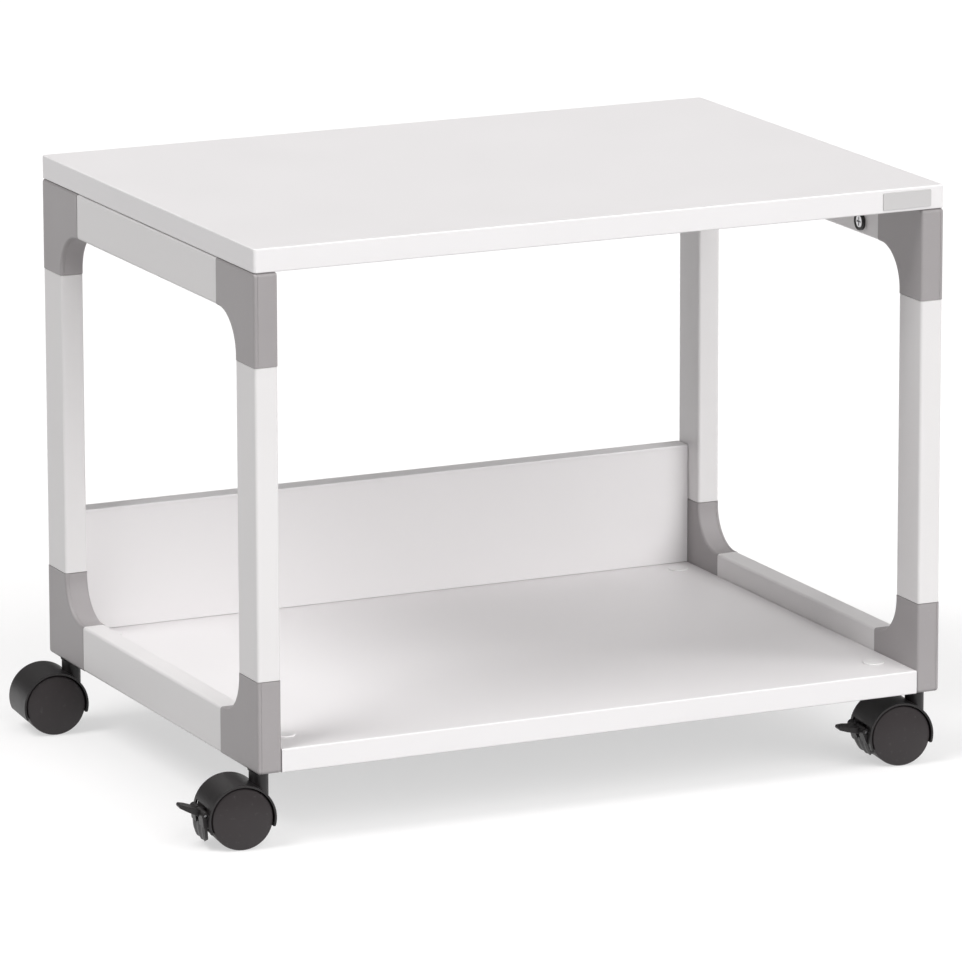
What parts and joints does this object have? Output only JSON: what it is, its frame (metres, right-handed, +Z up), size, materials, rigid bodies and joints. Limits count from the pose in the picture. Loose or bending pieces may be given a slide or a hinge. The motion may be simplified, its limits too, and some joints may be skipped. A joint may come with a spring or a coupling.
{
  "type": "mobile printer stand",
  "caption": "Low wheeled stand for a printer: a board top over an open bay, tubular side frames with moulded corners, a shelf with a low back and swivel casters.",
  "frame": {"origin": "on the floor, under the middle of the stand's box at rest, with all casters trailing to the left", "axes": "+X to the stand's right along its longest side, -Y to its open front, +Z up"},
  "size_m": [0.6568, 0.4382, 0.477],
  "materials": {
    "melamine_board": "white melamine face on chipboard, fine pearl grain, satin",
    "edge_band": "white plastic edge band, satin",
    "powder_coated_tube": "light grey powder coat, fine texture",
    "grey_corner": "mid grey moulded plastic, fine spark-eroded grain",
    "caster_hood": "black nylon, satin",
    "caster_wheel": "black nylon, satin",
    "brake_pedal": "black nylon, satin, ribbed",
    "cam_housing": "black plastic",
    "cam_cover": "white plastic, satin",
    "socket_sleeve": "black plastic",
    "label_plate": "blank, fine brushed",
    "zinc_steel": "zinc plated"
  },
  "bodies": {
    "frame": {"top_panel": "melamine_board", "top_panel_edge_band": "edge_band", "label_plate": "label_plate", "lower_shelf": "melamine_board", "shelf_edge_band": "edge_band", "shelf_cap_front_left": "cam_cover", "shelf_cap_rear_left": "cam_cover", "shelf_cap_front_right": "cam_cover", "shelf_cap_rear_right": "cam_cover", "back_panel": "melamine_board", "back_panel_edge_band": "edge_band", "post_front_left": "powder_coated_tube", "post_rear_left": "powder_coated_tube", "post_front_right": "powder_coated_tube", "post_rear_right": "powder_coated_tube", "rail_bottom_left": "powder_coated_tube", "rail_bottom_right": "powder_coated_tube", "rail_top_left": "powder_coated_tube", "rail_top_right": "powder_coated_tube", "corner_bottom_front_left": "grey_corner", "corner_bottom_rear_left": "grey_corner", "corner_bottom_front_right": "grey_corner", "corner_bottom_rear_right": "grey_corner", "corner_top_front_left": "grey_corner", "corner_top_rear_left": "grey_corner", "corner_top_front_right": "grey_corner", "corner_top_rear_right": "grey_corner", "top_cam_front_left": "cam_housing", "top_cam_rear_left": "cam_housing", "top_cam_front_right": "cam_housing", "top_cam_rear_right": "cam_housing", "socket_front_left": "socket_sleeve", "socket_front_right": "socket_sleeve", "socket_rear_left": "socket_sleeve", "socket_rear_right": "socket_sleeve"},
    "caster_front_left": {"hood_front_left": "caster_hood", "stem_front_left": "zinc_steel", "axle_front_left": "zinc_steel", "brake_pin_front_left": "zinc_steel"},
    "wheel_front_front_left_body": {"wheel_front_front_left": "caster_wheel"},
    "wheel_back_front_left_body": {"wheel_back_front_left": "caster_wheel"},
    "brake_front_left": {"brake_pedal_front_left": "brake_pedal"},
    "caster_front_right": {"hood_front_right": "caster_hood", "stem_front_right": "zinc_steel", "axle_front_right": "zinc_steel", "brake_pin_front_right": "zinc_steel"},
    "wheel_front_front_right_body": {"wheel_front_front_right": "caster_wheel"},
    "wheel_back_front_right_body": {"wheel_back_front_right": "caster_wheel"},
    "brake_front_right": {"brake_pedal_front_right": "brake_pedal"},
    "caster_rear_left": {"hood_rear_left": "caster_hood", "stem_rear_left": "zinc_steel", "axle_rear_left": "zinc_steel"},
    "wheel_front_rear_left_body": {"wheel_front_rear_left": "caster_wheel"},
    "wheel_back_rear_left_body": {"wheel_back_rear_left": "caster_wheel"},
    "caster_rear_right": {"hood_rear_right": "caster_hood", "stem_rear_right": "zinc_steel", "axle_rear_right": "zinc_steel"},
    "wheel_front_rear_right_body": {"wheel_front_rear_right": "caster_wheel"},
    "wheel_back_rear_right_body": {"wheel_back_rear_right": "caster_wheel"}
  },
  "joints": [
    {"name": "swivel_front_left", "type": "hinge", "parent": "frame", "child": "caster_front_left", "pos_m": [-0.26195, -0.1951, 0.0583], "axis": [0, 0, 1], "continuous": true},
    {"name": "roll_front_front_left", "type": "hinge", "parent": "caster_front_left", "child": "wheel_front_front_left_body", "pos_m": [-0.28132, -0.19282, 0.025], "axis": [-0.1167, -0.9932, 0], "continuous": true},
    {"name": "roll_back_front_left", "type": "hinge", "parent": "caster_front_left", "child": "wheel_back_front_left_body", "pos_m": [-0.28132, -0.19282, 0.025], "axis": [-0.1167, -0.9932, 0], "continuous": true},
    {"name": "brake_front_left_pivot", "type": "hinge", "parent": "caster_front_left", "child": "brake_front_left", "pos_m": [-0.30972, -0.18949, 0.029], "axis": [-0.1167, -0.9932, 0], "range_deg": [0, 14]},
    {"name": "swivel_front_right", "type": "hinge", "parent": "frame", "child": "caster_front_right", "pos_m": [0.31805, -0.1951, 0.0583], "axis": [0, 0, 1], "continuous": true},
    {"name": "roll_front_front_right", "type": "hinge", "parent": "caster_front_right", "child": "wheel_front_front_right_body", "pos_m": [0.29867, -0.19293, 0.025], "axis": [-0.1115, -0.9938, 0], "continuous": true},
    {"name": "roll_back_front_right", "type": "hinge", "parent": "caster_front_right", "child": "wheel_back_front_right_body", "pos_m": [0.29867, -0.19293, 0.025], "axis": [-0.1115, -0.9938, 0], "continuous": true},
    {"name": "brake_front_right_pivot", "type": "hinge", "parent": "caster_front_right", "child": "brake_front_right", "pos_m": [0.27025, -0.18974, 0.029], "axis": [-0.1115, -0.9938, 0], "range_deg": [-14, 0]},
    {"name": "swivel_rear_left", "type": "hinge", "parent": "frame", "child": "caster_rear_left", "pos_m": [-0.26195, 0.1909, 0.0583], "axis": [0, 0, 1], "continuous": true},
    {"name": "roll_front_rear_left", "type": "hinge", "parent": "caster_rear_left", "child": "wheel_front_rear_left_body", "pos_m": [-0.28136, 0.19277, 0.025], "axis": [-0.0958, -0.9954, 0], "continuous": true},
    {"name": "roll_back_rear_left", "type": "hinge", "parent": "caster_rear_left", "child": "wheel_back_rear_left_body", "pos_m": [-0.28136, 0.19277, 0.025], "axis": [-0.0958, -0.9954, 0], "continuous": true},
    {"name": "swivel_rear_right", "type": "hinge", "parent": "frame", "child": "caster_rear_right", "pos_m": [0.31805, 0.1909, 0.0583], "axis": [0, 0, 1], "continuous": true},
    {"name": "roll_front_rear_right", "type": "hinge", "parent": "caster_rear_right", "child": "wheel_front_rear_right_body", "pos_m": [0.29866, 0.19294, 0.025], "axis": [-0.1045, -0.9945, 0], "continuous": true},
    {"name": "roll_back_rear_right", "type": "hinge", "parent": "caster_rear_right", "child": "wheel_back_rear_right_body", "pos_m": [0.29866, 0.19294, 0.025], "axis": [-0.1045, -0.9945, 0], "continuous": true}
  ]
}
